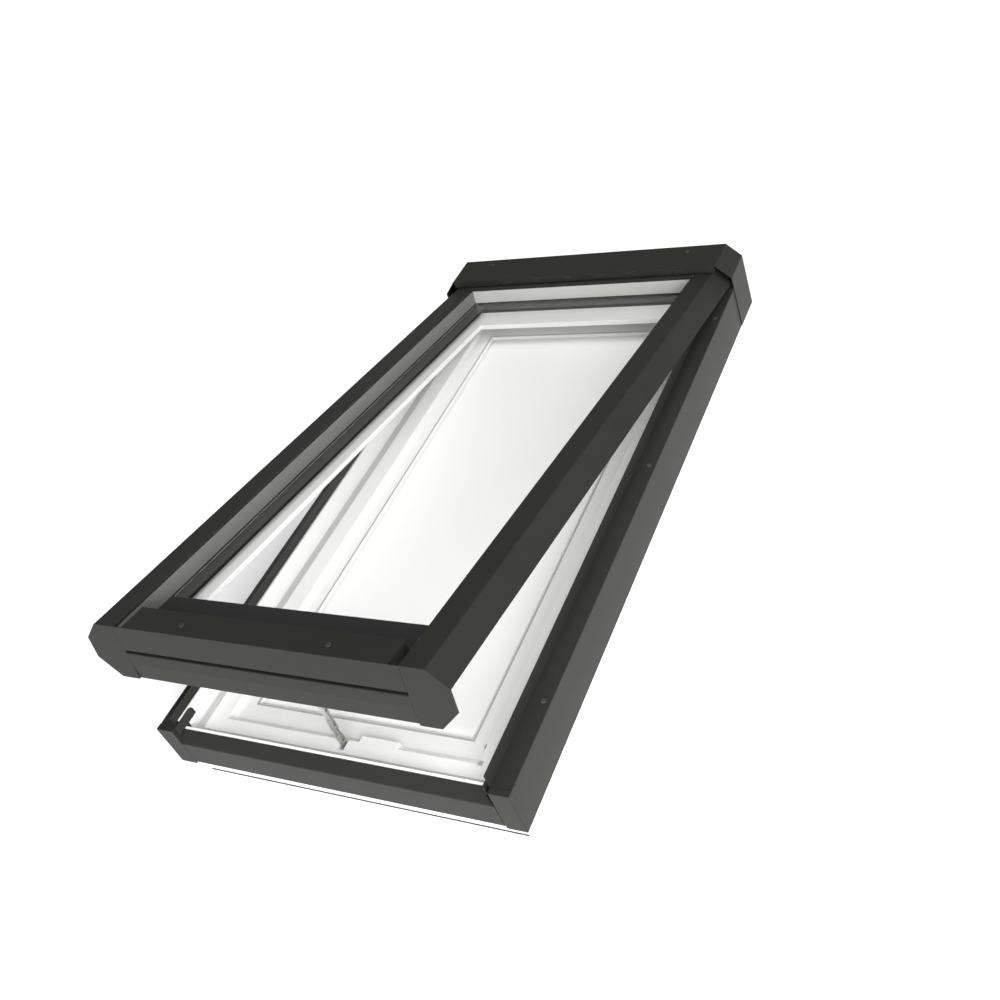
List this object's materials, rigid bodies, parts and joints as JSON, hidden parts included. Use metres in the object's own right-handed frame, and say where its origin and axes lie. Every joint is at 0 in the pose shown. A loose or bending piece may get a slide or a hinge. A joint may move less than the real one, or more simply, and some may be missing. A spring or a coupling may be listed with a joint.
{
  "type": "roof skylight",
  "caption": "Top-hung venting roof skylight: white timber frame and sash under dark sheet metal, double glazing, insect screen and a push-chain crank operator.",
  "frame": {"origin": "centre of the frame's footprint on the roof deck, at the underside of the bare timber", "axes": "+Y up the roof slope towards the hinged head, +Z straight out of the roof, +X to the right seen from the eaves"},
  "size_m": [0.6228, 1.1886, 0.3374],
  "materials": {
    "white_timber": "satin white paint",
    "cladding": "matt dark olive grey paint",
    "screw_dark": "satin dark paint",
    "glass": "clear, polished",
    "border": "matt dark print",
    "strip": "matt grey",
    "black_rubber": "matt black",
    "seal_grey": "matt grey",
    "fabric": "fine woven mesh",
    "steel": "bright zinc plate",
    "spacer_metal": "satin",
    "white_plastic": "satin white",
    "clip_plastic": "satin grey"
  },
  "bodies": {
    "frame": {"frame_left_rail": "white_timber", "frame_right_rail": "white_timber", "frame_sill": "white_timber", "frame_head": "white_timber", "left_cladding": "cladding", "right_cladding": "cladding", "front_cladding": "cladding", "left_corner_cap": "cladding", "right_corner_cap": "cladding", "head_cowl": "cladding", "cowl_brackets": "steel", "left_frame_seal": "seal_grey", "right_frame_seal": "seal_grey", "front_frame_seal": "seal_grey", "corner_gaskets": "black_rubber", "sill_gasket": "black_rubber", "screen_left_bar": "white_plastic", "screen_right_bar": "white_plastic", "screen_top_bar": "white_plastic", "screen_bottom_bar": "white_plastic", "insect_screen": "fabric", "screen_clips": "clip_plastic", "left_frame_hinge": "steel", "right_frame_hinge": "steel", "hinge_pins": "steel", "cladding_screws": "screw_dark", "cowl_screws": "screw_dark", "operator_housing": "white_plastic", "operator_cover": "white_plastic", "stored_chain": "steel", "chain_run": "steel"},
    "sash": {"sash_left_rail": "white_timber", "sash_right_rail": "white_timber", "sash_head_rail": "white_timber", "sash_bottom_rail": "white_timber", "outer_pane": "glass", "inner_pane": "glass", "pane_spacer": "spacer_metal", "glass_border": "border", "glazing_tape": "black_rubber", "left_glazing_strip": "strip", "right_glazing_strip": "strip", "head_glazing_strip": "strip", "bottom_gasket": "black_rubber", "sash_left_cover": "cladding", "sash_right_cover": "cladding", "sash_head_cover": "cladding", "front_upper_cover": "cladding", "front_lower_cover": "cladding", "front_carrier": "black_rubber", "left_end_cap": "cladding", "right_end_cap": "cladding", "left_sash_hinge": "steel", "right_sash_hinge": "steel", "front_screws": "screw_dark", "chain_bracket": "steel", "chain_pin": "steel"},
    "chain_end": {"chain_end_link": "steel"},
    "drive": {"drive_gear": "steel"},
    "crank": {"crank_shaft": "steel"}
  },
  "joints": [
    {"name": "sash_hinge", "type": "hinge", "parent": "frame", "child": "sash", "pos_m": [0, 0.5558, 0.0778], "axis": [-1, 0, 0], "range_deg": [-10.33, 0], "deforming": ["chain_run"]},
    {"name": "chain_end_pivot", "type": "hinge", "parent": "sash", "child": "chain_end", "pos_m": [0.002, -0.52834, 0.27541], "axis": [-1, 0, 0], "range_deg": [0, 10.33]},
    {"name": "drive_spin", "type": "hinge", "parent": "frame", "child": "drive", "pos_m": [0.0185, -0.536, 0.03521], "axis": [0, 1, 0], "range_deg": [-720, 0]},
    {"name": "crank_spin", "type": "hinge", "parent": "frame", "child": "crank", "pos_m": [0.0395, -0.53, 0.03521], "axis": [0, 1, 0], "range_deg": [0, 2304]}
  ],
  "couplings": [
    {"joint": "chain_end_pivot", "follows": "sash_hinge", "ratio": -1},
    {"joint": "drive_spin", "follows": "sash_hinge", "ratio": 69.7},
    {"joint": "crank_spin", "follows": "sash_hinge", "ratio": -223.04}
  ]
}
